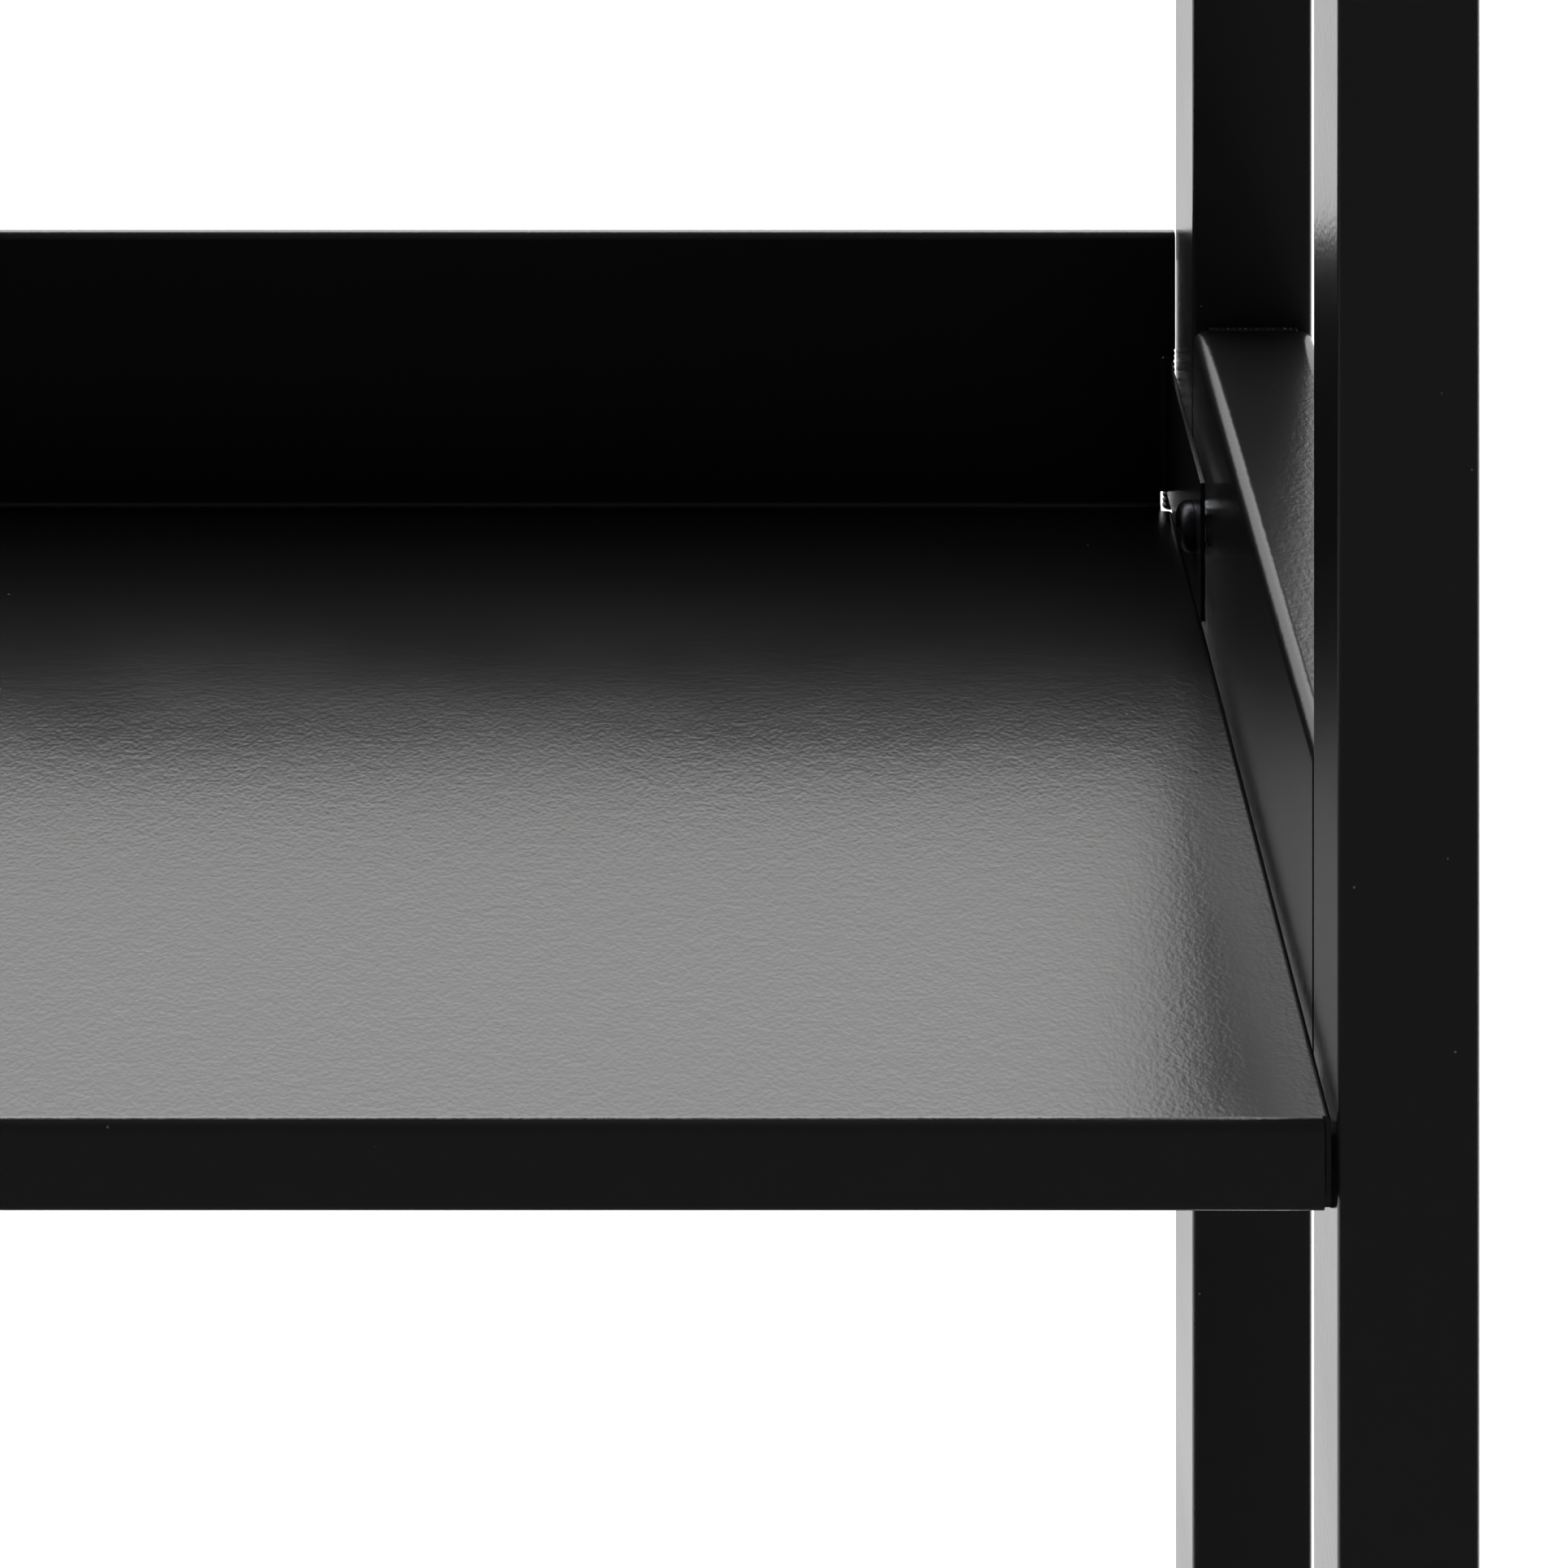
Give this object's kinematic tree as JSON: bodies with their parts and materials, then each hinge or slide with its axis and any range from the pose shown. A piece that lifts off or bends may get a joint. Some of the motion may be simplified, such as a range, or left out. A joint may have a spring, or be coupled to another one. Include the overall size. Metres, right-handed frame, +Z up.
{
  "type": "over the toilet storage rack",
  "caption": "Tall free-standing black steel rack that stands over a toilet: square-tube posts on levelling feet carry folded trays with low back walls and side rails.",
  "frame": {"origin": "on the floor, below the middle of the rack", "axes": "+Z up along the posts, +Y towards the wall behind the toilet, +X to the right seen from the front"},
  "size_m": [0.6474, 0.225, 1.7],
  "materials": {
    "powder_coat": "semi-gloss black powder coat with a fine grain",
    "black_zinc": "black zinc-plated steel, satin",
    "bright_zinc": "bright zinc-plated steel",
    "black_plastic": "moulded black polypropylene, fine satin texture",
    "foot_rubber": "moulded black rubber, matt"
  },
  "bodies": {
    "root": {"front_left_post": "powder_coat", "front_left_cap": "black_plastic", "front_left_foot_insert": "black_plastic", "front_right_post": "powder_coat", "front_right_cap": "black_plastic", "front_right_foot_insert": "black_plastic", "rear_left_post": "powder_coat", "rear_left_cap": "black_plastic", "rear_left_foot_insert": "black_plastic", "rear_right_post": "powder_coat", "rear_right_cap": "black_plastic", "rear_right_foot_insert": "black_plastic", "low_left_rail": "powder_coat", "low_right_rail": "powder_coat", "rear_stretcher": "powder_coat", "stretcher_left_nut_plug": "bright_zinc", "stretcher_left_bolt": "black_zinc", "stretcher_right_nut_plug": "bright_zinc", "stretcher_right_bolt": "black_zinc", "lower_tray": "powder_coat", "lower_left_rail": "powder_coat", "lower_left_rivet_nut": "bright_zinc", "lower_left_ear_bolt": "black_zinc", "lower_left_tab": "powder_coat", "lower_left_tab_bolt": "black_zinc", "lower_right_rail": "powder_coat", "lower_right_rivet_nut": "bright_zinc", "lower_right_ear_bolt": "black_zinc", "lower_right_tab": "powder_coat", "lower_right_tab_bolt": "black_zinc", "middle_tray": "powder_coat", "middle_left_rail": "powder_coat", "middle_left_rivet_nut": "bright_zinc", "middle_left_ear_bolt": "black_zinc", "middle_left_tab": "powder_coat", "middle_left_tab_bolt": "black_zinc", "middle_right_rail": "powder_coat", "middle_right_rivet_nut": "bright_zinc", "middle_right_ear_bolt": "black_zinc", "middle_right_tab": "powder_coat", "middle_right_tab_bolt": "black_zinc", "upper_tray": "powder_coat", "upper_left_rail": "powder_coat", "upper_left_rivet_nut": "bright_zinc", "upper_left_ear_bolt": "black_zinc", "upper_left_tab": "powder_coat", "upper_left_tab_bolt": "black_zinc", "upper_right_rail": "powder_coat", "upper_right_rivet_nut": "bright_zinc", "upper_right_ear_bolt": "black_zinc", "upper_right_tab": "powder_coat", "upper_right_tab_bolt": "black_zinc"},
    "front_left_pad": {"front_left_foot_pad": "foot_rubber"},
    "front_left_stud": {"front_left_foot_stud": "bright_zinc"},
    "front_right_pad": {"front_right_foot_pad": "foot_rubber"},
    "front_right_stud": {"front_right_foot_stud": "bright_zinc"},
    "rear_left_pad": {"rear_left_foot_pad": "foot_rubber"},
    "rear_left_stud": {"rear_left_foot_stud": "bright_zinc"},
    "rear_right_pad": {"rear_right_foot_pad": "foot_rubber"},
    "rear_right_stud": {"rear_right_foot_stud": "bright_zinc"}
  },
  "joints": [
    {"name": "front_left_level", "type": "slide", "parent": "root", "child": "front_left_pad", "axis": [0, 0, -1], "range_m": [-0.004, 0.01]},
    {"name": "front_left_turn", "type": "hinge", "parent": "front_left_pad", "child": "front_left_stud", "pos_m": [-0.305, -0.0975, 0.01], "axis": [0, 0, -1], "range_deg": [-1155, 2885]},
    {"name": "front_right_level", "type": "slide", "parent": "root", "child": "front_right_pad", "axis": [0, 0, -1], "range_m": [-0.004, 0.01]},
    {"name": "front_right_turn", "type": "hinge", "parent": "front_right_pad", "child": "front_right_stud", "pos_m": [0.305, -0.0975, 0.01], "axis": [0, 0, -1], "range_deg": [-1155, 2885]},
    {"name": "rear_left_level", "type": "slide", "parent": "root", "child": "rear_left_pad", "axis": [0, 0, -1], "range_m": [-0.004, 0.01]},
    {"name": "rear_left_turn", "type": "hinge", "parent": "rear_left_pad", "child": "rear_left_stud", "pos_m": [-0.305, 0.0975, 0.01], "axis": [0, 0, -1], "range_deg": [-1155, 2885]},
    {"name": "rear_right_level", "type": "slide", "parent": "root", "child": "rear_right_pad", "axis": [0, 0, -1], "range_m": [-0.004, 0.01]},
    {"name": "rear_right_turn", "type": "hinge", "parent": "rear_right_pad", "child": "rear_right_stud", "pos_m": [0.305, 0.0975, 0.01], "axis": [0, 0, -1], "range_deg": [-1155, 2885]}
  ],
  "couplings": [
    {"joint": "front_left_turn", "follows": "front_left_level", "rad_per_m": 5026.5},
    {"joint": "front_right_turn", "follows": "front_right_level", "rad_per_m": 5026.5},
    {"joint": "rear_left_turn", "follows": "rear_left_level", "rad_per_m": 5026.5},
    {"joint": "rear_right_turn", "follows": "rear_right_level", "rad_per_m": 5026.5}
  ]
}
